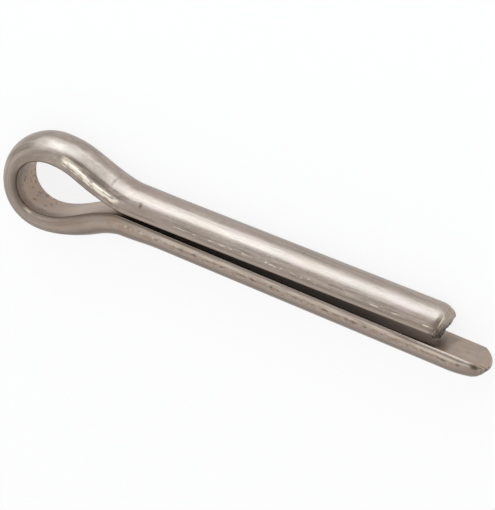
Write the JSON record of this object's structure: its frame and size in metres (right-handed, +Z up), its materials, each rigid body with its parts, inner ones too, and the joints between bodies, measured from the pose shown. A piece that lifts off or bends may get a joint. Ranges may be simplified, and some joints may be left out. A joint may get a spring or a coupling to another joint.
{
  "type": "split cotter pin",
  "caption": "Split pin of half-round wire folded into a pear-shaped eye and two close legs of unequal length with sheared ends.",
  "frame": {"origin": "middle of the bounding box's base, on the side of the pin that lies down", "axes": "+X along the long leg from the eye to the tips, +Y from the long leg across to the short leg, +Z up through the eye"},
  "size_m": [0.0748, 0.0144, 0.007],
  "materials": {
    "steel": "drawn bare steel wire, half bright, with fine lines along its length, light stains and small pits"
  },
  "bodies": {
    "root": {"cotter_pin": "steel"}
  },
  "joints": []
}
